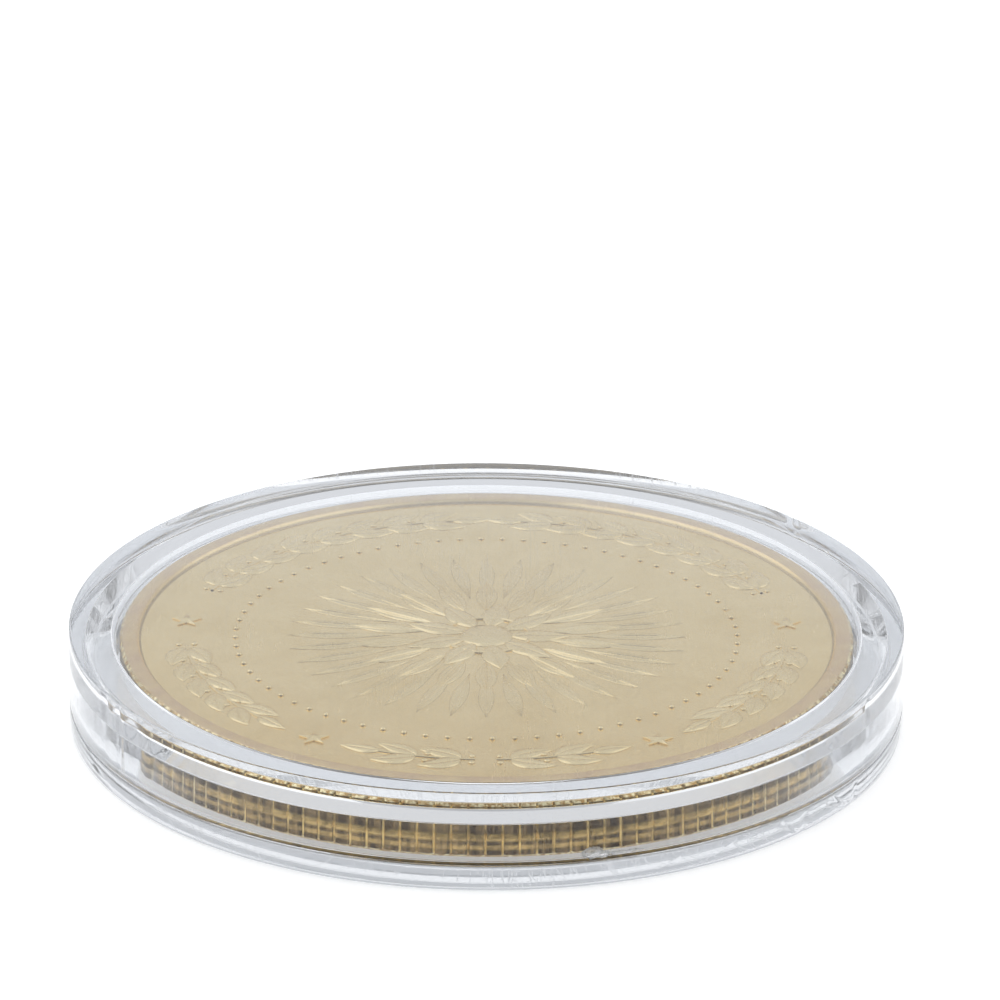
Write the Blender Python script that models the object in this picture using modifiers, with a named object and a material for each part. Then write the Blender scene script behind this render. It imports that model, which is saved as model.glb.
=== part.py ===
"""Round coin capsule: a clear base and a clear press-fit lid closed over a reeded coin.

Metres, +Z up.  The origin is the centre of the capsule's underside, and Z is the axis of all
three turned pieces.  Each piece is drawn in its own frame, from its own lowest face upwards, and
is then set on the axis at the height where it rests.
"""
import math

import bmesh
import bpy

MM = 0.001

# Capsule
CAPSULE_RADIUS = 22.8 * MM
CAPSULE_HEIGHT = 5.7 * MM
FOOT_ROUND = 0.3 * MM  # rounding of the base's lower outside edge
TOP_ROUND = 0.12 * MM  # rounding of the lid's top outside edge
SEAM_ROUND = 0.1 * MM  # rounding of the lid's lower outside edge, at the seam
WINDOW_THICKNESS = 1.3 * MM  # the lid's clear disc over the coin
FLOOR_THICKNESS = 1.07 * MM  # the base's clear disc under the coin
FLANGE_HEIGHT = 1.43 * MM  # the base's full-width foot, which the lid closes down on

# Coin
COIN_RADIUS = 20.0 * MM
COIN_THICKNESS = 3.03 * MM
COIN_BEVEL = 0.2 * MM
COIN_RIM_WIDTH = 0.75 * MM
COIN_RIM_SLOPE = 0.2 * MM  # plan width of the slope from the rim down to the field
COIN_FIELD_DEPTH = 0.25 * MM  # how far the field lies below the rim
REED_COUNT = 144
REED_DEPTH = 0.15 * MM

# Fits
REST_GAP = 0.05 * MM  # between faces that rest on each other
PRESS_GAP = 0.1 * MM  # between the base's ring and the lid's skirt
COIN_GAP = 0.25 * MM  # around the coin, inside the base's ring
LID_COIN_GAP = 0.4 * MM  # around the coin, inside the lid's lip

# Walls
SKIRT_INNER_RADIUS = CAPSULE_RADIUS - 1.0 * MM
RING_OUTER_RADIUS = SKIRT_INNER_RADIUS - PRESS_GAP
RING_INNER_RADIUS = COIN_RADIUS + COIN_GAP
LIP_RADIUS = COIN_RADIUS + LID_COIN_GAP
LIP_DEPTH = 0.35 * MM  # how far the lid's lip hangs below the window
SEAT_DROP = 0.43 * MM  # fall of the conical seat, from the lip out to the skirt
SEAT_GAP = 0.1 * MM  # between the conical seat and the top of the ring

# Heights where the pieces rest
COIN_BOTTOM = FLOOR_THICKNESS + REST_GAP
LID_BOTTOM = FLANGE_HEIGHT + REST_GAP
WINDOW_BOTTOM = CAPSULE_HEIGHT - WINDOW_THICKNESS
SEAT_TOP = WINDOW_BOTTOM - LIP_DEPTH
RING_TOP = SEAT_TOP - SEAT_GAP

SHELL_STEPS = 96
ARC_STEPS = 3
SHARP_ANGLE = math.radians(30)
AXIS_MERGE = 1e-6  # joins a profile's ends on the axis, and is far below any real detail


def clear_scene():
    for existing in list(bpy.data.objects):
        bpy.data.objects.remove(existing)


def make_material(name, colour, roughness, metallic, alpha=1.0):
    material = bpy.data.materials.new(name)
    material.use_nodes = True
    shader = material.node_tree.nodes["Principled BSDF"]
    shader.inputs["Base Color"].default_value = (*colour, 1.0)
    shader.inputs["Roughness"].default_value = roughness
    shader.inputs["Metallic"].default_value = metallic
    shader.inputs["Alpha"].default_value = alpha
    return material


def round_corner(centre, radius, start, end):
    """Points along an arc in the (radius, height) half plane, angles in degrees."""
    points = []
    for step in range(ARC_STEPS + 1):
        angle = math.radians(start + (end - start) * step / ARC_STEPS)
        points.append((centre[0] + radius * math.cos(angle), centre[1] + radius * math.sin(angle)))
    return points


def make_turned(name, profile, steps, collection, material):
    """A solid of revolution about Z from a profile that runs from the axis, over the top,
    down the outside and back to the axis underneath."""
    mesh = bpy.data.meshes.new(name)
    outline = bmesh.new()
    corners = [outline.verts.new((radius, 0.0, height)) for radius, height in profile]
    for first, second in zip(corners, corners[1:]):
        outline.edges.new((first, second))
    outline.to_mesh(mesh)
    outline.free()
    piece = bpy.data.objects.new(name, mesh)
    collection.objects.link(piece)
    mesh.materials.append(material)
    screw = piece.modifiers.new("turn", "SCREW")
    screw.axis = "Z"
    screw.angle = math.tau
    screw.steps = steps
    screw.render_steps = steps
    screw.use_merge_vertices = True
    screw.merge_threshold = AXIS_MERGE
    screw.use_smooth_shade = False
    return piece


def apply_modifiers(piece):
    """Swap the piece's mesh for its evaluated one and drop its modifiers."""
    source = piece.data
    graph = bpy.context.evaluated_depsgraph_get()
    solid = bpy.data.meshes.new_from_object(piece.evaluated_get(graph))
    piece.modifiers.clear()
    piece.data = solid
    bpy.data.meshes.remove(source)
    solid.name = piece.name


def shade_round(piece):
    piece.data.shade_smooth()
    piece.data.set_sharp_from_angle(angle=SHARP_ANGLE)


def base_profile():
    foot = (CAPSULE_RADIUS - FOOT_ROUND, FOOT_ROUND)
    profile = [
        (0.0, FLOOR_THICKNESS),
        (RING_INNER_RADIUS, FLOOR_THICKNESS),
        (RING_INNER_RADIUS, RING_TOP),
        (RING_OUTER_RADIUS, RING_TOP - SEAT_DROP),
        (RING_OUTER_RADIUS, FLANGE_HEIGHT),
        (CAPSULE_RADIUS, FLANGE_HEIGHT),
    ]
    profile += round_corner(foot, FOOT_ROUND, 0, -90)
    profile.append((0.0, 0.0))
    return profile


def lid_profile():
    height = CAPSULE_HEIGHT - LID_BOTTOM
    shoulder = (CAPSULE_RADIUS - TOP_ROUND, height - TOP_ROUND)
    hem = (CAPSULE_RADIUS - SEAM_ROUND, SEAM_ROUND)
    profile = [(0.0, height)]
    profile += round_corner(shoulder, TOP_ROUND, 90, 0)
    profile += round_corner(hem, SEAM_ROUND, 0, -90)
    profile += [
        (SKIRT_INNER_RADIUS, 0.0),
        (SKIRT_INNER_RADIUS, SEAT_TOP - SEAT_DROP - LID_BOTTOM),
        (LIP_RADIUS, SEAT_TOP - LID_BOTTOM),
        (LIP_RADIUS, WINDOW_BOTTOM - LID_BOTTOM),
        (0.0, WINDOW_BOTTOM - LID_BOTTOM),
    ]
    return profile


def coin_profile():
    """The coin's blank: a bevelled edge, a raised rim and a recessed field on both faces."""
    rim_outer = COIN_RADIUS - COIN_BEVEL
    rim_inner = rim_outer - COIN_RIM_WIDTH
    field_radius = rim_inner - COIN_RIM_SLOPE
    upper = [
        (0.0, COIN_THICKNESS - COIN_FIELD_DEPTH),
        (field_radius, COIN_THICKNESS - COIN_FIELD_DEPTH),
        (rim_inner, COIN_THICKNESS),
        (rim_outer, COIN_THICKNESS),
        (COIN_RADIUS, COIN_THICKNESS - COIN_BEVEL),
    ]
    lower = [(radius, COIN_THICKNESS - height) for radius, height in reversed(upper)]
    return upper + lower


def cut_reeds(coin):
    """Every second vertical line of the coin's edge is drawn in, which leaves upright reeds."""
    half_pitch = math.pi / REED_COUNT
    on_edge = COIN_RADIUS - COIN_BEVEL / 2
    for vertex in coin.data.vertices:
        radius = math.hypot(vertex.co.x, vertex.co.y)
        line = round(math.atan2(vertex.co.y, vertex.co.x) / half_pitch)
        if radius > on_edge and line % 2:
            scale = (COIN_RADIUS - REED_DEPTH) / radius
            vertex.co.x *= scale
            vertex.co.y *= scale


def main():
    clear_scene()
    parts = bpy.data.collections.new("coin_capsule")
    bpy.context.scene.collection.children.link(parts)
    clear_plastic = make_material("clear_plastic", (0.93, 0.95, 0.97), 0.06, 0.0, alpha=0.3)
    gold_plate = make_material("gold_plate", (0.62, 0.50, 0.25), 0.28, 1.0)

    base = make_turned("capsule_base", base_profile(), SHELL_STEPS, parts, clear_plastic)
    apply_modifiers(base)
    shade_round(base)

    coin = make_turned("coin", coin_profile(), 2 * REED_COUNT, parts, gold_plate)
    apply_modifiers(coin)
    cut_reeds(coin)
    shade_round(coin)
    coin.parent = base
    coin.location.z = COIN_BOTTOM

    lid = make_turned("capsule_lid", lid_profile(), SHELL_STEPS, parts, clear_plastic)
    apply_modifiers(lid)
    shade_round(lid)
    lid.parent = base
    lid.location.z = LID_BOTTOM


main()
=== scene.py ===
"""Looks of the coin capsule: a clear press-fit base and lid closed over a gold-plated coin.

Everything is in metres in the CAD frame: the origin is the centre of the underside and Z is the
axis of the three turned pieces.  Heights and outer radii come from the frame; the other sizes are
the named values below.
"""
import math

import bmesh
import bpy
from mathutils import Matrix, Vector
from mathutils import noise as field_noise


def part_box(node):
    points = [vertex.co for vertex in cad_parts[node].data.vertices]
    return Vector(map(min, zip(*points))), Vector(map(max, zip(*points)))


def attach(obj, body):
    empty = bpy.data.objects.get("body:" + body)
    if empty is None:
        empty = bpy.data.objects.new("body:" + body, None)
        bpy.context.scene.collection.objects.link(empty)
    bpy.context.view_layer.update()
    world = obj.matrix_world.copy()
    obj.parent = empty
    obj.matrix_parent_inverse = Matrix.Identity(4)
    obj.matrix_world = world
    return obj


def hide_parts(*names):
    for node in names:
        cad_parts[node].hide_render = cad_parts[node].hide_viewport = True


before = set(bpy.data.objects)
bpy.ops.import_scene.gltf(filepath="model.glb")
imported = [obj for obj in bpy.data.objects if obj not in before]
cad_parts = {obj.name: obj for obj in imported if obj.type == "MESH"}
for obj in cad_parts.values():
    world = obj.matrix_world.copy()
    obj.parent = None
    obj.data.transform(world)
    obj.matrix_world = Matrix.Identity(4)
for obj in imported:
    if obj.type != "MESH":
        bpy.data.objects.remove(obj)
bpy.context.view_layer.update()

MM = 0.001

BASE_LOW, BASE_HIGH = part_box("capsule_base")
LID_LOW, LID_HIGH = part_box("capsule_lid")
COIN_LOW, COIN_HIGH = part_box("coin")

# Clear shells
SHELL_STEPS = 1440
CAPSULE_RADIUS = LID_HIGH.x
COIN_RADIUS = COIN_HIGH.x
FOOT_ROUND = 0.3 * MM  # rounding of the base's lower outside edge
TOP_ROUND = 0.12 * MM  # rounding of the lid's top outside edge
SEAM_ROUND = 0.1 * MM  # rounding of the two outside edges at the seam
INNER_ROUND = 0.06 * MM  # rounding of every edge inside the capsule
WINDOW_BOTTOM = LID_HIGH.z - 1.3 * MM  # underside of the lid's clear disc
LIP_DEPTH = 0.35 * MM  # how far the lid's lip hangs below the window
SEAT_DROP = 0.43 * MM  # fall of the conical seat, from the lip out to the skirt
SEAT_TOP = WINDOW_BOTTOM - LIP_DEPTH
FLOOR_TOP = 1.07 * MM
FLANGE_TOP = 1.43 * MM
SKIRT_INNER = CAPSULE_RADIUS - 1.0 * MM
RING_OUTER = SKIRT_INNER - 0.1 * MM
RING_INNER = COIN_RADIUS + 0.25 * MM
LIP_INNER = COIN_RADIUS + 0.4 * MM

# Nicks in the shells' outer edges: direction in degrees, half length and depth in mm
BASE_NICKS = ((318, 0.45, 0.05), (330, 0.4, 0.04), (96, 0.6, 0.05))
LID_NICKS = ((207, 0.9, 0.07), (211, 0.5, 0.05), (216, 1.3, 0.08), (41, 0.6, 0.05), (333, 0.5, 0.04))

# Lumps of the gate scar: direction in degrees, half width, half height and height in mm
GATE_LUMPS = (
    (284.2, 0.5, 0.3, 1.98),
    (285.6, 0.34, 0.2, 1.86),
    (288.2, 0.6, 0.11, 1.82),
    (290.4, 0.5, 0.06, 1.86),
)
GATE_HALF_DEPTH = 0.07  # mm

# Coin blank
REED_COUNT = 144
REED_DEPTH = 0.15 * MM
REED_CROWN = 0.02 * MM  # fall of a reed's top from its middle to the groove
GROOVE_SHARE = 0.095  # half of a groove's width, in reed pitches
REED_LINES = (0, 0.048, 0.095, 0.18, 0.34, 0.5, 0.66, 0.82, 0.905, 0.952)  # in reed pitches
COIN_BEVEL = 0.2 * MM
RIM_OUTER = COIN_RADIUS - COIN_BEVEL
RIM_INNER = RIM_OUTER - 0.75 * MM
FIELD_RADIUS = RIM_INNER - 0.2 * MM
COIN_MIDDLE = (COIN_LOW.z + COIN_HIGH.z) / 2
HALF_COIN = (COIN_HIGH.z - COIN_LOW.z) / 2
HALF_FIELD = HALF_COIN - 0.25 * MM  # the fields' height over the coin's middle plane

# Relief on the coin's faces
SUNK = 0.015 * MM  # how far the foot of a relief goes under the field
BEAD_RING = 13.68 * MM
BEAD_COUNT = 72
SPRIG_RADIUS = 16.35 * MM
WREATH_RADIUS = 14.2 * MM
STAR_RADIUS = 16.5 * MM
LEAF_STEPS = 14

# Sections across a raised strip: place from -1 to 1 of its half width, and share of its height
LEAF_SECTION = (
    (-1, -0.15), (-0.86, 0.55), (-0.5, 1.0), (-0.12, 0.92), (0, 0.62),
    (0.12, 0.92), (0.5, 1.0), (0.86, 0.55), (1, -0.15),
)
WIRE_SECTION = ((-1, -0.15), (-0.7, 0.7), (0, 1.0), (0.7, 0.7), (1, -0.15))
FEATHER_SECTION = (
    (-1, -0.15), (-0.88, 0.6), (-0.66, 0.85), (-0.5, 0.5), (-0.34, 0.95), (-0.14, 0.6), (0, 1.1),
    (0.14, 0.6), (0.34, 0.95), (0.5, 0.5), (0.66, 0.85), (0.88, 0.6), (1, -0.15),
)
DOME_RINGS = ((1.0, -0.2), (0.92, 0.45), (0.7, 0.8), (0.38, 0.96))  # share of radius and of height

# Camera and light
PLASTIC_BOUNCES = 40  # light is reflected many times inside the clear flange
ROOM_NEAR = (0.24, 0.23, 0.22, 1)  # colour of the room behind the viewer
ROOM_FAR = (0.77, 0.785, 0.81, 1)  # colour of the room beyond the object
CEILING_SHARE = 0.3  # how much a direction's height adds to its place from near to far
CAMERA_ELEVATION = math.radians(23.94)
CAMERA_DISTANCE = 451.3 * MM
CAMERA_LENS = 296.0
CAMERA_ROLL = math.radians(0.33)
AIM_RIGHT = 0.7 * MM
AIM_UP = 11.83 * MM


# ---------------------------------------------------------------- mesh helpers

def new_piece(name, shape, body, slot, *nodes):
    """Turn a bmesh into a named object that rides on a body and may replace CAD nodes."""
    mesh = bpy.data.meshes.new(name)
    shape.to_mesh(mesh)
    shape.free()
    piece = bpy.data.objects.new(name, mesh)
    bpy.context.scene.collection.objects.link(piece)
    mesh.shade_smooth()
    mesh.set_sharp_from_angle(angle=math.radians(38))
    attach(piece, body)
    if nodes:
        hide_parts(*nodes)
    return piece


def rounded(outline, steps=5):
    """Round the corners of a (radius, height, rounding) outline with arcs."""
    points = []
    for index, (radius, height, rounding) in enumerate(outline):
        corner = Vector((radius, height))
        if rounding == 0:
            points.append(corner)
            continue
        before = (Vector(outline[index - 1][:2]) - corner).normalized()
        after = (Vector(outline[(index + 1) % len(outline)][:2]) - corner).normalized()
        half = before.angle(after) / 2
        centre = corner + (before + after).normalized() * rounding / math.sin(half)
        start = corner + before * rounding / math.tan(half) - centre
        end = corner + after * rounding / math.tan(half) - centre
        turn = start.angle_signed(end)
        for step in range(steps + 1):
            spoke = start.copy()
            spoke.rotate(Matrix.Rotation(-turn * step / steps, 2))
            points.append(centre + spoke)
    return points


def turned(points, angles):
    """A closed solid of revolution about Z, from an outline that starts and ends on the axis."""
    shape = bmesh.new()
    steps = len(angles)
    spokes = [(math.cos(angle), math.sin(angle)) for angle in angles]
    rings = []
    for radius, height in points[1:-1]:
        rings.append([shape.verts.new((radius * c, radius * s, height)) for c, s in spokes])
    top = shape.verts.new((0, 0, points[0][1]))
    bottom = shape.verts.new((0, 0, points[-1][1]))
    for step in range(steps):
        after = (step + 1) % steps
        shape.faces.new((top, rings[0][step], rings[0][after]))
        shape.faces.new((bottom, rings[-1][after], rings[-1][step]))
        for upper, lower in zip(rings, rings[1:]):
            shape.faces.new((upper[step], lower[step], lower[after], upper[after]))
    return shape


def even_turn(steps):
    return [math.tau * step / steps for step in range(steps)]


def on_circle(radius, degrees):
    angle = math.radians(degrees)
    return Vector((radius * math.cos(angle), radius * math.sin(angle)))


# ---------------------------------------------------------------- clear shells

def nick(shape, nicks, inner, low, high):
    """Dent a shell's outer edge inwards over short stretches between two heights."""
    for degrees, length, depth in nicks:
        for vertex in shape.verts:
            radius = math.hypot(vertex.co.x, vertex.co.y)
            if radius < inner or not low < vertex.co.z < high:
                continue
            off = math.atan2(vertex.co.y, vertex.co.x) - math.radians(degrees)
            off = (off + math.pi) % math.tau - math.pi
            share = max(0, 1 - abs(off) * radius / (length * MM))
            scale = 1 - depth * MM * share * share * (3 - 2 * share) / radius
            vertex.co.x *= scale
            vertex.co.y *= scale


def make_base():
    """Floor, full-width flange, and the upright ring whose conical top the lid sits over."""
    outline = rounded([
        (0, FLOOR_TOP, 0),
        (RING_INNER, FLOOR_TOP, INNER_ROUND),
        (RING_INNER, BASE_HIGH.z, INNER_ROUND),
        (RING_OUTER, BASE_HIGH.z - SEAT_DROP, INNER_ROUND),
        (RING_OUTER, FLANGE_TOP, INNER_ROUND),
        (CAPSULE_RADIUS, FLANGE_TOP, SEAM_ROUND),
        (CAPSULE_RADIUS, BASE_LOW.z, FOOT_ROUND),
        (0, BASE_LOW.z, 0),
    ])
    shape = turned(outline, even_turn(SHELL_STEPS))
    nick(shape, BASE_NICKS, CAPSULE_RADIUS - FOOT_ROUND, BASE_LOW.z - MM, BASE_LOW.z + 0.5 * MM)
    return new_piece("base_shell", shape, "base", "clear_plastic", "capsule_base")


def make_lid():
    """Window, skirt, short lip, and the conical seat between lip and skirt."""
    outline = rounded([
        (0, LID_HIGH.z, 0),
        (CAPSULE_RADIUS, LID_HIGH.z, TOP_ROUND),
        (CAPSULE_RADIUS, LID_LOW.z, SEAM_ROUND),
        (SKIRT_INNER, LID_LOW.z, INNER_ROUND),
        (SKIRT_INNER, SEAT_TOP - SEAT_DROP, INNER_ROUND),
        (LIP_INNER, SEAT_TOP, INNER_ROUND),
        (LIP_INNER, WINDOW_BOTTOM, INNER_ROUND),
        (0, WINDOW_BOTTOM, 0),
    ])
    shape = turned(outline, even_turn(SHELL_STEPS))
    reach = TOP_ROUND + 0.02 * MM
    nick(shape, LID_NICKS, CAPSULE_RADIUS - reach, LID_HIGH.z - reach, LID_HIGH.z + MM)
    return new_piece("lid_shell", shape, "lid", "clear_plastic", "capsule_lid")


def make_gate_scar():
    """The torn, bumpy stub where the lid's moulding gate was snapped off, and its drawn-out tail."""
    shape = bmesh.new()
    up = Vector((0, 0, 1))
    for degrees, half_width, half_height, height in GATE_LUMPS:
        made = bmesh.ops.create_icosphere(shape, subdivisions=5, radius=1.0)
        foot = on_circle(CAPSULE_RADIUS - 0.03 * MM, degrees).to_3d()
        out = foot.normalized()
        across = Vector((-out.y, out.x, 0))
        foot.z = height * MM
        seed = Vector((degrees, 0, 0))
        for vertex in made["verts"]:
            lump = 1 + 0.35 * field_noise.noise(vertex.co * 1.7 + seed)
            lump += 0.2 * field_noise.noise(vertex.co * 5 + seed)
            lump += 0.1 * field_noise.noise(vertex.co * 12 + seed)
            spot = vertex.co * lump * MM
            sideways = across * spot.x * half_width
            vertex.co = foot + sideways + out * spot.y * GATE_HALF_DEPTH + up * spot.z * half_height
    return new_piece("lid_gate_scar", shape, "lid", "clear_plastic")


# ---------------------------------------------------------------- coin

def blank_outline():
    """The coin's outline: flat fields, raised rims with soft corners and bevelled edges."""
    corner_steps = 3
    edge_rows = 6
    rim = [
        (FIELD_RADIUS, HALF_FIELD, 0.08 * MM),
        (RIM_INNER, HALF_COIN, 0.08 * MM),
        (RIM_OUTER, HALF_COIN, 0.1 * MM),
        (COIN_RADIUS, HALF_COIN - COIN_BEVEL, 0.08 * MM),
    ]
    lead_in = [(0, HALF_FIELD, 0)]
    run_out = [(COIN_RADIUS, 0, 0)]
    rim = rounded(lead_in + rim + run_out, corner_steps)[1:-1]
    upper = [Vector((0, HALF_FIELD))] + rim
    half_edge = [rim[-1] * Vector((1, 1 - 2 * row / edge_rows)) for row in range(1, edge_rows)]
    lower = [Vector((point.x, -point.y)) for point in reversed(upper)]
    return [Vector((point.x, point.y + COIN_MIDDLE)) for point in upper + half_edge + lower]


def reed_depth(angle):
    """How far the coin's edge lies inside its full radius: narrow grooves between crowned reeds."""
    place = angle * REED_COUNT / math.tau % 1
    off = min(place, 1 - place)
    if off < GROOVE_SHARE:
        return REED_CROWN + (REED_DEPTH - REED_CROWN) * (1 - off / GROOVE_SHARE)
    return REED_CROWN * ((0.5 - off) / (0.5 - GROOVE_SHARE)) ** 2


def make_blank():
    """The coin's blank, with the reeds cut into its edge and run out over the bevels."""
    pitch = math.tau / REED_COUNT
    angles = [pitch * (reed + line) for reed in range(REED_COUNT) for line in REED_LINES]
    shape = turned(blank_outline(), angles)
    for vertex in shape.verts:
        radius = math.hypot(vertex.co.x, vertex.co.y)
        if radius > RIM_OUTER:
            share = min(1, (radius - RIM_OUTER) / (COIN_BEVEL * 0.8))
            angle = math.atan2(vertex.co.y, vertex.co.x)
            scale = 1 - share * reed_depth(angle) / radius
            vertex.co.x *= scale
            vertex.co.y *= scale
    return new_piece("coin_blank", shape, "coin", "gold_plate", "coin")


def ridge(shape, spine, widths, heights, section):
    """A raised strip on the field along a spine of plan points, with a section across it."""
    rows = []
    for index, point in enumerate(spine):
        ahead = spine[min(index + 1, len(spine) - 1)]
        behind = spine[max(index - 1, 0)]
        along = (ahead - behind).normalized()
        across = Vector((-along.y, along.x))
        row = []
        for place, rise in section:
            spot = point + across * place * widths[index]
            height = HALF_FIELD + max(rise * heights[index], -SUNK)
            row.append(shape.verts.new((spot.x, spot.y, height)))
        rows.append(row)
    for first, second in zip(rows, rows[1:]):
        for index in range(len(section) - 1):
            shape.faces.new((first[index + 1], first[index], second[index], second[index + 1]))


def leaf(shape, root, direction, length, width, height, section, fullness=0.75, bend=0.0):
    """A pointed leaf or petal from root, along a direction in degrees, that may bend sideways."""
    spine, widths, heights = [], [], []
    for step in range(LEAF_STEPS + 1):
        share = step / LEAF_STEPS
        swing = math.radians(direction) + bend * share
        spine.append(root + Vector((math.cos(swing), math.sin(swing))) * length * share)
        body = math.sin(math.pi * share ** fullness)
        widths.append(width * max(body, 0.03))
        heights.append(height * (0.25 + 0.75 * body ** 0.6) if 0 < step < LEAF_STEPS else 0.0)
    ridge(shape, spine, widths, heights, section)


def arc_wire(shape, radius, start, end, width, height):
    """A raised wire along an arc, from one angle to another."""
    steps = max(8, round(abs(end - start) / 1.5))
    spine = [on_circle(radius, start + (end - start) * step / steps) for step in range(steps + 1)]
    ridge(shape, spine, [width] * len(spine), [height] * len(spine), WIRE_SECTION)


def button(shape, centre, radius, height, around=14):
    """A low dome on the field."""
    rows = []
    for share, rise in DOME_RINGS:
        row = []
        for step in range(around):
            spot = centre + on_circle(radius * share, 360 * step / around)
            row.append(shape.verts.new((spot.x, spot.y, HALF_FIELD + rise * height)))
        rows.append(row)
    crown = shape.verts.new((centre.x, centre.y, HALF_FIELD + height))
    for step in range(around):
        after = (step + 1) % around
        for outer, inner in zip(rows, rows[1:]):
            shape.faces.new((outer[step], outer[after], inner[after], inner[step]))
        shape.faces.new((rows[-1][step], rows[-1][after], crown))


def star(shape, centre, radius, height, turn):
    """A faceted five-pointed star."""
    foot, brow = [], []
    for step in range(10):
        reach = radius if step % 2 == 0 else radius * 0.42
        spot = centre + on_circle(reach, turn + 36 * step)
        foot.append(shape.verts.new((spot.x, spot.y, HALF_FIELD - SUNK)))
        brow.append(shape.verts.new((spot.x, spot.y, HALF_FIELD + height * 0.35)))
    crown = shape.verts.new((centre.x, centre.y, HALF_FIELD + height))
    for step in range(10):
        after = (step + 1) % 10
        shape.faces.new((foot[step], foot[after], brow[after], brow[step]))
        shape.faces.new((brow[step], brow[after], crown))


def sprig(shape, start, end, radius=SPRIG_RADIUS, pitch=7.6, size=1.0):
    """A laurel sprig along an arc, from one angle to another: a stem with paired leaves and
    berries, and a single leaf at the tip."""
    way = 1 if end > start else -1
    arc_wire(shape, radius, start, end - way * 3, 0.1 * MM * size, 0.07 * MM)
    pairs = max(1, round((abs(end - start) - 5) / pitch))
    for index in range(pairs):
        degrees = start + way * (2.5 + index * (abs(end - start) - 6) / pairs)
        heading = degrees + way * 90
        for side in (-1, 1):
            root = on_circle(radius + side * 0.08 * MM, degrees)
            out = heading - side * way * 37
            length = 2.55 * MM * size
            width = 0.66 * MM * size
            leaf(shape, root, out, length, width, 0.11 * MM, LEAF_SECTION, bend=side * way * 0.28)
            berry = on_circle(radius + side * 0.42 * MM * size, degrees - way * 1.9)
            button(shape, berry, 0.2 * MM * size, 0.09 * MM, around=10)
    last = end - way * 5
    tip = on_circle(radius, last)
    leaf(shape, tip, last + way * 90, 2.3 * MM * size, 0.5 * MM * size, 0.11 * MM, LEAF_SECTION)


def petal_ring(shape, count, inner, outer, width, height, section, turn=0.0, fullness=0.75):
    """Petals that point outwards, from an inner to an outer radius."""
    for index in range(count):
        degrees = turn + 360 * index / count
        leaf(shape, on_circle(inner, degrees), degrees, outer - inner, width, height, section, fullness)


def bead_ring(shape, count, radius, size, height, turn=0.0):
    """Low beads in a circle."""
    for index in range(count):
        button(shape, on_circle(radius, turn + 360 * index / count), size, height, around=10)


def obverse():
    """Upper face: a rosette in a ring of beads, laurel sprigs and four stars."""
    shape = bmesh.new()
    bead_ring(shape, BEAD_COUNT, BEAD_RING, 0.18 * MM, 0.13 * MM, turn=1.4)
    for start, end in ((158, 92), (22, 88), (184, 227), (268, 245), (272, 295), (356, 312)):
        sprig(shape, start, end)
    for degrees in (6.5, 173.5, 236.5, 303.5):
        star(shape, on_circle(STAR_RADIUS, degrees), 0.85 * MM, 0.2 * MM, 90)
    petal_ring(shape, 36, 5.2 * MM, 10.9 * MM, 0.45 * MM, 0.055 * MM, FEATHER_SECTION, fullness=1.15)
    petal_ring(shape, 18, 3.4 * MM, 7.6 * MM, 0.62 * MM, 0.095 * MM, FEATHER_SECTION, turn=10, fullness=1.0)
    petal_ring(shape, 9, 1.2 * MM, 4.6 * MM, 0.78 * MM, 0.13 * MM, LEAF_SECTION, fullness=0.9)
    arc_wire(shape, 2.35 * MM, 0, 360, 0.12 * MM, 0.12 * MM)
    button(shape, Vector((0, 0)), 1.5 * MM, 0.16 * MM, around=40)
    return shape


def reverse():
    """Under face: a laurel wreath round a smaller rosette, inside a ring of beads."""
    shape = bmesh.new()
    bead_ring(shape, 108, 18.1 * MM, 0.18 * MM, 0.13 * MM)
    sprig(shape, 274, 448, radius=WREATH_RADIUS, pitch=9.0, size=1.3)
    sprig(shape, 266, 92, radius=WREATH_RADIUS, pitch=9.0, size=1.3)
    star(shape, on_circle(WREATH_RADIUS, 270), 1.0 * MM, 0.14 * MM, 90)
    petal_ring(shape, 24, 3.6 * MM, 9.4 * MM, 0.6 * MM, 0.1 * MM, FEATHER_SECTION, fullness=1.1)
    petal_ring(shape, 12, 1.4 * MM, 5.6 * MM, 0.8 * MM, 0.15 * MM, LEAF_SECTION, turn=15)
    button(shape, Vector((0, 0)), 1.7 * MM, 0.19 * MM, around=40)
    return shape


def make_relief(name, shape, turned_over):
    """Set a face's relief on the coin; the under face is turned over about Y."""
    place = Matrix.Translation((0, 0, COIN_MIDDLE))
    if turned_over:
        place = place @ Matrix.Rotation(math.pi, 4, "Y")
    shape.transform(place)
    return new_piece(name, shape, "coin", "gold_plate")


# ---------------------------------------------------------------- materials

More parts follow.
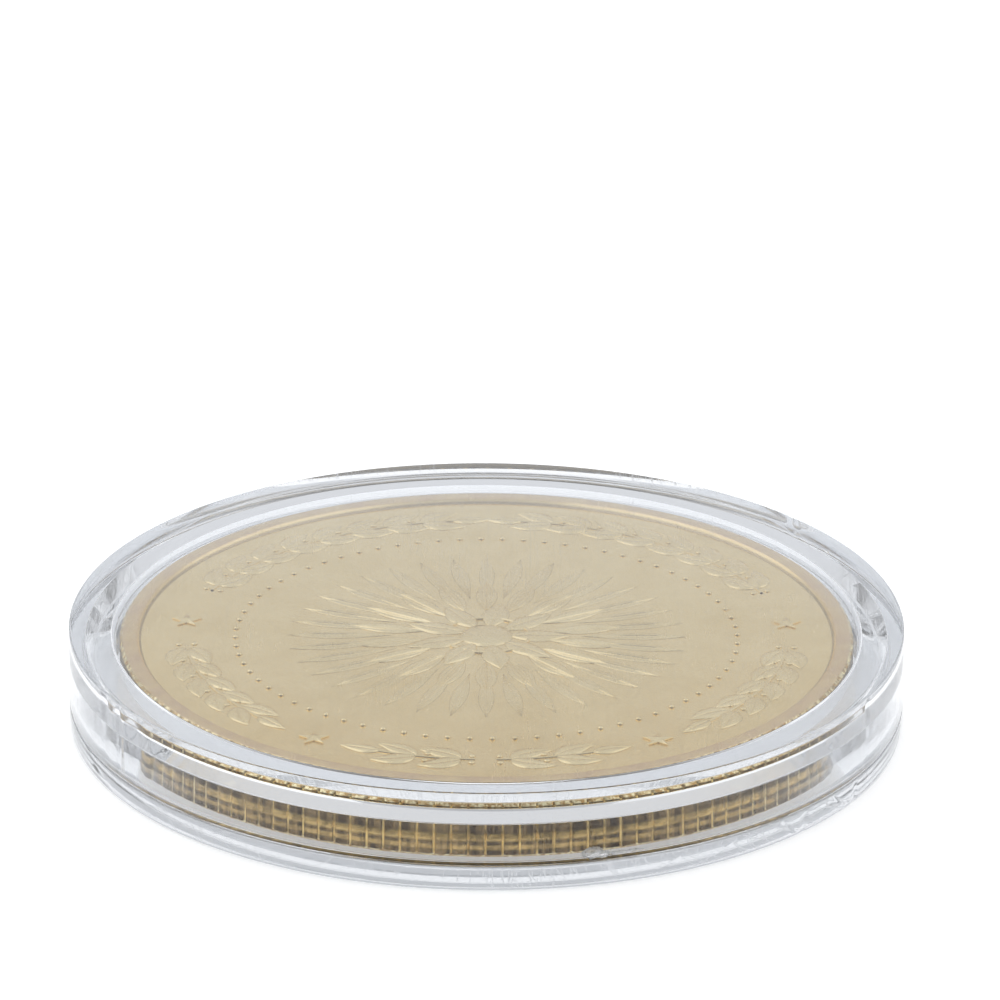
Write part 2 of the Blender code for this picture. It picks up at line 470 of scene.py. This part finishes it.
class Nodes:
    """Short names for the shader nodes that the materials share."""

    def __init__(self, name):
        self.material = bpy.data.materials.new(name)
        self.material.use_nodes = True
        self.tree = self.material.node_tree
        self.shader = self.tree.nodes["Principled BSDF"]
        self.output = self.tree.nodes["Material Output"]
        self.place = self.tree.nodes.new("ShaderNodeTexCoord").outputs["Object"]

    def link(self, source, target):
        self.tree.links.new(source, target)

    def feed(self, value, socket):
        """Link another node's output to a socket, or set a plain number or colour on it."""
        if isinstance(value, bpy.types.NodeSocket):
            self.link(value, socket)
        else:
            socket.default_value = value

    def stretched(self, turn, scale):
        """The piece's own coordinates, turned about Z in degrees and scaled per axis."""
        node = self.tree.nodes.new("ShaderNodeMapping")
        node.inputs["Rotation"].default_value = (0, 0, math.radians(turn))
        node.inputs["Scale"].default_value = scale
        self.link(self.place, node.inputs["Vector"])
        return node.outputs["Vector"]

    def noise(self, scale, detail=4.0, roughness=0.55, at=None):
        node = self.tree.nodes.new("ShaderNodeTexNoise")
        node.inputs["Scale"].default_value = scale
        node.inputs["Detail"].default_value = detail
        node.inputs["Roughness"].default_value = roughness
        self.link(at or self.place, node.inputs["Vector"])
        return node.outputs["Fac"]

    def remap(self, source, low, high, to_low, to_high):
        node = self.tree.nodes.new("ShaderNodeMapRange")
        node.inputs["From Min"].default_value = low
        node.inputs["From Max"].default_value = high
        node.inputs["To Min"].default_value = to_low
        node.inputs["To Max"].default_value = to_high
        self.link(source, node.inputs["Value"])
        return node.outputs["Result"]

    def math(self, operation, *values):
        node = self.tree.nodes.new("ShaderNodeMath")
        node.operation = operation
        for value, socket in zip(values, node.inputs):
            self.feed(value, socket)
        return node.outputs["Value"]

    def distance(self, source, centre):
        return self.math("ABSOLUTE", self.math("SUBTRACT", source, centre))

    def mix_colour(self, share, first, second):
        node = self.tree.nodes.new("ShaderNodeMix")
        node.data_type = "RGBA"
        self.link(share, node.inputs["Factor"])
        colours = [socket for socket in node.inputs if socket.type == "RGBA"]
        for value, socket in zip((first, second), colours):
            self.feed(value, socket)
        return next(socket for socket in node.outputs if socket.type == "RGBA")

    def radius(self):
        """Distance from the axis of the turned pieces."""
        flat = self.stretched(0, (1, 1, 0))
        node = self.tree.nodes.new("ShaderNodeVectorMath")
        node.operation = "LENGTH"
        self.link(flat, node.inputs[0])
        return node.outputs["Value"]

    def height(self):
        """Height over the plane the capsule stands on."""
        node = self.tree.nodes.new("ShaderNodeSeparateXYZ")
        self.link(self.place, node.inputs["Vector"])
        return node.outputs["Z"]

    def bump(self, source, distance, strength=1.0, over=None):
        node = self.tree.nodes.new("ShaderNodeBump")
        node.inputs["Distance"].default_value = distance
        node.inputs["Strength"].default_value = strength
        self.link(source, node.inputs["Height"])
        if over:
            self.link(over, node.inputs["Normal"])
        return node.outputs["Normal"]

    def scratches(self, turn, fineness, length, amount):
        """Sparse hairlines in one direction: 1 on a scratch and 0 beside it."""
        lines = self.noise(1.0, 2.0, 0.6, self.stretched(turn, (fineness, length, length)))
        sharp = self.remap(lines, 0.62, 0.66, 0.0, 1.0)
        patches = self.remap(self.noise(170.0 + turn, 1.0), 0.60 - amount, 0.66 - amount, 0.0, 1.0)
        return self.math("MULTIPLY", sharp, patches)


def clear_plastic():
    """Clear moulded plastic with a faint grey-blue depth, hairline scratches, smears, slight sink
    waves and scuffed outer edges."""
    nodes = Nodes("clear_plastic")
    shader = nodes.shader
    shader.inputs["Base Color"].default_value = (0.90, 0.912, 0.93, 1)
    shader.inputs["IOR"].default_value = 1.49
    shader.inputs["Specular Tint"].default_value = (0.35, 0.35, 0.35, 1)
    shader.inputs["Transmission Weight"].default_value = 1.0
    hairlines = nodes.math(
        "MAXIMUM", nodes.scratches(12, 9000.0, 90.0, 0.05), nodes.scratches(-58, 11000.0, 120.0, 0.04)
    )
    half = LID_HIGH.z / 2
    off_middle = nodes.distance(nodes.height(), half)
    near_faces = nodes.remap(off_middle, half - 0.3 * MM, half - 0.1 * MM, 0.0, 1.0)
    outer = CAPSULE_RADIUS
    outermost = nodes.remap(nodes.radius(), outer - 0.5 * MM, outer - 0.15 * MM, 0.0, 1.0)
    scuffed = nodes.math("MULTIPLY", outermost, near_faces)
    rubs = nodes.remap(nodes.noise(2600.0, 5.0), 0.58, 0.66, 0.0, 1.0)
    scuffs = nodes.math("MULTIPLY", scuffed, rubs)
    smears = nodes.remap(nodes.noise(130.0, 3.0), 0.45, 0.75, 0.0, 0.02)
    dull_lines = nodes.math("MULTIPLY", hairlines, 0.16)
    dull_scuffs = nodes.math("MULTIPLY", scuffs, 0.22)
    wear = nodes.math("ADD", dull_lines, dull_scuffs)
    nodes.link(nodes.math("ADD", wear, smears), shader.inputs["Roughness"])
    waves = nodes.bump(nodes.noise(160.0, 1.0), 0.03 * MM, 0.05)
    scored = nodes.bump(nodes.math("ADD", hairlines, scuffs), 0.004 * MM, 0.2, over=waves)
    nodes.link(scored, shader.inputs["Normal"])
    depth = nodes.tree.nodes.new("ShaderNodeVolumeAbsorption")
    depth.inputs["Color"].default_value = (0.55, 0.565, 0.58, 1)
    depth.inputs["Density"].default_value = 13.0
    nodes.link(depth.outputs["Volume"], nodes.output.inputs["Volume"])
    let_lamps_through(nodes)
    return nodes.material


def let_lamps_through(nodes):
    """Rays from lamps pass straight through, so that the plastic doesn't shade what it holds."""
    path = nodes.tree.nodes.new("ShaderNodeLightPath")
    clear = nodes.tree.nodes.new("ShaderNodeBsdfTransparent")
    clear.inputs["Color"].default_value = (0.93, 0.95, 0.97, 1)
    mix = nodes.tree.nodes.new("ShaderNodeMixShader")
    nodes.link(path.outputs["Is Shadow Ray"], mix.inputs["Fac"])
    nodes.link(nodes.shader.outputs["BSDF"], mix.inputs[1])
    nodes.link(clear.outputs["BSDF"], mix.inputs[2])
    nodes.link(mix.outputs["Shader"], nodes.output.inputs["Surface"])


def frosted_plastic():
    """The torn, whitened plastic of the gate scar."""
    nodes = Nodes("frosted_plastic")
    shader = nodes.shader
    shader.inputs["IOR"].default_value = 1.49
    shader.inputs["Transmission Weight"].default_value = 0.85
    cloud = nodes.noise(3200.0, 6.0)
    tint = nodes.mix_colour(cloud, (0.72, 0.73, 0.73, 1), (0.97, 0.98, 0.98, 1))
    nodes.link(tint, shader.inputs["Base Color"])
    nodes.link(nodes.remap(cloud, 0.3, 0.7, 0.2, 0.55), shader.inputs["Roughness"])
    nodes.link(nodes.bump(nodes.noise(7000.0, 5.0), 0.03 * MM, 0.7), shader.inputs["Normal"])
    return nodes.material


def gold_plate(name, smooth, rough, grain, grain_strength, light, dull, painted_light):
    """Struck gold plate: faint toning, a fine grain, and hairlines that catch the light.  Its
    roughness runs from smooth to rough; the last argument paints shade, and on the edge highlights."""
    nodes = Nodes(name)
    shader = nodes.shader
    shader.inputs["Metallic"].default_value = 1.0
    toning = nodes.remap(nodes.noise(260.0, 6.0, 0.6), 0.35, 0.7, 0.0, 1.0)
    colour = nodes.mix_colour(toning, light, dull)
    nodes.link(painted_light(nodes, colour), shader.inputs["Base Color"])
    hairlines = nodes.scratches(31, 14000.0, 260.0, 0.08)
    fine = nodes.noise(5200.0, 4.0)
    uneven = nodes.math("ADD", fine, nodes.math("MULTIPLY", hairlines, 0.25))
    nodes.link(nodes.remap(uneven, 0.3, 0.9, smooth, rough), shader.inputs["Roughness"])
    grained = nodes.bump(nodes.noise(grain, 3.0), 0.006 * MM, grain_strength)
    nodes.link(nodes.bump(hairlines, 0.002 * MM, 0.5, over=grained), shader.inputs["Normal"])
    return nodes.material


def edge_painted_light(nodes, colour):
    """The coin's edge: painted dark brown as shade for the dark room that it reflects, with painted
    highlights in two gold bands and as pale lines in the grooves.
    """
    height = nodes.height()
    # painted highlights: two bands at set heights on the edge turn from the dark brown to bright gold
    upper = nodes.distance(height, 2.26 * MM)
    lower = nodes.distance(height, 1.72 * MM)
    upper_painted_highlight = nodes.remap(upper, 0.12 * MM, 0.26 * MM, 1.0, 0.0)
    lower_painted_highlight = nodes.remap(lower, 0.08 * MM, 0.17 * MM, 0.6, 0.0)
    patchy = nodes.remap(nodes.noise(1300.0, 3.0, 0.6), 0.40, 0.60, 0.4, 1.0)
    painted_highlights = nodes.math("MULTIPLY", nodes.math("MAXIMUM", upper_painted_highlight, lower_painted_highlight), patchy)
    # painted shade: the streaked dark brown below stands in for the dark room that the coin's edge reflects
    streaks = nodes.noise(1.0, 3.0, 0.85, nodes.stretched(0, (2600.0, 2600.0, 260.0)))
    streaked = nodes.remap(streaks, 0.42, 0.62, 0.0, 1.0)
    brown = nodes.mix_colour(streaked, (0.055, 0.03, 0.01, 1), (0.32, 0.21, 0.09, 1))
    painted_shade_and_highlights = nodes.mix_colour(painted_highlights, brown, (0.78, 0.54, 0.2, 1))
    # painted highlights: the grooves are painted pale gold in patches, so that they show as thin bright
    # lines
    groove = nodes.remap(nodes.radius(), COIN_RADIUS - 0.08 * MM, COIN_RADIUS - 0.03 * MM, 1.0, 0.0)
    patchy_groove_highlight = nodes.remap(nodes.noise(900.0, 4.0, 0.6), 0.38, 0.6, 0.6, 1.0)
    edge = nodes.mix_colour(nodes.math("MULTIPLY", groove, patchy_groove_highlight), painted_shade_and_highlights, (0.96, 0.82, 0.52, 1))
    half = HALF_COIN - COIN_BEVEL
    off_middle = nodes.distance(height, COIN_MIDDLE)
    upright = nodes.remap(off_middle, half - 0.02 * MM, half + 0.03 * MM, 1.0, 0.0)
    outermost = nodes.remap(nodes.radius(), RIM_OUTER + 0.01 * MM, RIM_OUTER + 0.04 * MM, 0.0, 1.0)
    on_edge = nodes.math("MULTIPLY", upright, outermost)
    return nodes.mix_colour(on_edge, rim_toning_and_painted_shade(nodes, colour), edge)


def rim_toning_and_painted_shade(nodes, colour):
    """The rims: handled to a pinker gold, with a brown line of painted shade in the crease where the
    slope meets the field, and a speckle of bare and brown spots on the bevel."""
    handled = nodes.remap(nodes.noise(700.0, 4.0, 0.6), 0.35, 0.65, 0.45, 1.0)
    on_rim = nodes.remap(nodes.radius(), FIELD_RADIUS + 0.12 * MM, RIM_INNER, 0.0, 1.0)
    rim = nodes.mix_colour(nodes.math("MULTIPLY", on_rim, handled), colour, (0.78, 0.58, 0.37, 1))
    # painted shade: a brown line in the crease where the rim's slope meets the field
    off_foot = nodes.distance(nodes.radius(), FIELD_RADIUS + 0.03 * MM)
    foot = nodes.remap(off_foot, 0.02 * MM, 0.1 * MM, 0.75, 0.0)
    rim_with_painted_shade = nodes.mix_colour(foot, rim, (0.36, 0.27, 0.17, 1))
    speckle = nodes.remap(nodes.noise(4200.0, 3.0, 0.7), 0.42, 0.58, 0.0, 1.0)
    bruised = nodes.mix_colour(speckle, (0.5, 0.3, 0.1, 1), (1.0, 0.88, 0.55, 1))
    on_bevel = nodes.remap(nodes.radius(), RIM_OUTER, RIM_OUTER + 0.04 * MM, 0.0, 1.0)
    return nodes.mix_colour(on_bevel, rim_with_painted_shade, bruised)


def recess_painted_shade(nodes, colour):
    """The feet of the relief, darkened brown as painted shade where the relief meets the field."""
    off_middle = nodes.distance(nodes.height(), COIN_MIDDLE)
    # painted shade: the lowest part of the relief, where it meets the field, is darkened brown
    foot = nodes.remap(off_middle, HALF_FIELD, HALF_FIELD + 0.03 * MM, 0.65, 0.0)
    return nodes.mix_colour(foot, colour, (0.36, 0.26, 0.13, 1))


def opal_table():
    """Plain white opal table top, faintly lit from below, with a barely visible tooth."""
    nodes = Nodes("opal_table")
    shader = nodes.shader
    tooth = nodes.noise(900.0, 3.0)
    white = nodes.mix_colour(tooth, (0.92, 0.92, 0.92, 1), (0.95, 0.95, 0.95, 1))
    nodes.link(white, shader.inputs["Base Color"])
    nodes.link(white, shader.inputs["Emission Color"])
    shader.inputs["Emission Strength"].default_value = 0.52
    shader.inputs["Roughness"].default_value = 0.9
    shader.inputs["Specular IOR Level"].default_value = 0.1
    return nodes.material


# ---------------------------------------------------------------- camera, floor and light

def make_camera():
    camera = bpy.data.objects.new("camera", bpy.data.cameras.new("camera"))
    bpy.context.scene.collection.objects.link(camera)
    back = Vector((0, -math.cos(CAMERA_ELEVATION), math.sin(CAMERA_ELEVATION)))
    up = Vector((0, math.sin(CAMERA_ELEVATION), math.cos(CAMERA_ELEVATION)))
    position = back * CAMERA_DISTANCE
    aim = Vector((AIM_RIGHT, 0, 0)) + up * AIM_UP
    facing = (aim - position).to_track_quat("-Z", "Y").to_matrix()
    turn = facing @ Matrix.Rotation(CAMERA_ROLL, 3, "Z")
    camera.matrix_world = Matrix.Translation(position) @ turn.to_4x4()
    camera.data.lens = CAMERA_LENS
    camera.data.sensor_width = 36.0
    camera.data.clip_start = 0.01
    camera.data.clip_end = 20.0
    bpy.context.scene.camera = camera


def make_floor():
    shape = bmesh.new()
    bmesh.ops.create_grid(shape, x_segments=1, y_segments=1, size=3.0)
    mesh = bpy.data.meshes.new("floor")
    shape.to_mesh(mesh)
    shape.free()
    floor = bpy.data.objects.new("floor", mesh)
    floor.location.z = BASE_LOW.z - 0.02 * MM
    bpy.context.scene.collection.objects.link(floor)
    mesh.materials.append(opal_table())


def add_softbox(name, place, size, power):
    """A square area light that faces the object."""
    light = bpy.data.lights.new(name, "AREA")
    light.size = size
    light.energy = power
    lamp = bpy.data.objects.new(name, light)
    lamp.location = place
    lamp.rotation_mode = "QUATERNION"
    lamp.rotation_quaternion = Vector(place).to_track_quat("Z", "Y")
    bpy.context.scene.collection.objects.link(lamp)


def make_light():
    """Two large dim softboxes in a pale room that is darker on the viewer's side."""
    world = bpy.data.worlds.new("studio")
    bpy.context.scene.world = world
    world.use_nodes = True
    tree = world.node_tree
    background = tree.nodes["Background"]
    place = tree.nodes.new("ShaderNodeTexCoord")
    split = tree.nodes.new("ShaderNodeSeparateXYZ")
    tilt = tree.nodes.new("ShaderNodeMath")
    depth = tree.nodes.new("ShaderNodeMapRange")
    ramp = tree.nodes.new("ShaderNodeValToRGB")
    tilt.operation = "MULTIPLY_ADD"
    tilt.inputs[1].default_value = CEILING_SHARE
    tree.links.new(place.outputs["Generated"], split.inputs["Vector"])
    tree.links.new(split.outputs["Z"], tilt.inputs[0])
    tree.links.new(split.outputs["Y"], tilt.inputs[2])
    tree.links.new(tilt.outputs["Value"], depth.inputs["Value"])
    tree.links.new(depth.outputs["Result"], ramp.inputs["Fac"])
    tree.links.new(ramp.outputs["Color"], background.inputs["Color"])
    depth.inputs["From Min"].default_value = -1.0
    depth.inputs["From Max"].default_value = 1.0
    ramp.color_ramp.interpolation = "EASE"
    ramp.color_ramp.elements[0].position = 0.08
    ramp.color_ramp.elements[0].color = ROOM_NEAR
    ramp.color_ramp.elements[1].position = 0.62
    ramp.color_ramp.elements[1].color = ROOM_FAR
    add_softbox("softbox_left", (-1.2, 0.2, 1.3), 2.0, 6.0)
    add_softbox("softbox_right", (1.3, 0.1, 1.2), 1.8, 3.6)
    scene = bpy.context.scene
    scene.view_settings.view_transform = "Standard"
    cycles = scene.cycles
    cycles.max_bounces = PLASTIC_BOUNCES
    cycles.glossy_bounces = PLASTIC_BOUNCES
    cycles.transmission_bounces = PLASTIC_BOUNCES
    cycles.transparent_max_bounces = PLASTIC_BOUNCES


def main():
    make_camera()
    make_floor()
    make_light()
    plastic = clear_plastic()
    polished = gold_plate(
        "gold_field", smooth=0.16, rough=0.32, grain=9000.0, grain_strength=0.25,
        light=(0.99, 0.80, 0.45, 1), dull=(0.91, 0.71, 0.36, 1), painted_light=edge_painted_light,
    )
    struck = gold_plate(
        "gold_relief", smooth=0.18, rough=0.34, grain=12000.0, grain_strength=0.05,
        light=(0.97, 0.80, 0.47, 1), dull=(0.87, 0.69, 0.37, 1), painted_light=recess_painted_shade,
    )
    make_base().data.materials.append(plastic)
    make_lid().data.materials.append(plastic)
    make_gate_scar().data.materials.append(frosted_plastic())
    make_blank().data.materials.append(polished)
    make_relief("coin_relief_obverse", obverse(), False).data.materials.append(struck)
    make_relief("coin_relief_reverse", reverse(), True).data.materials.append(struck)


main()
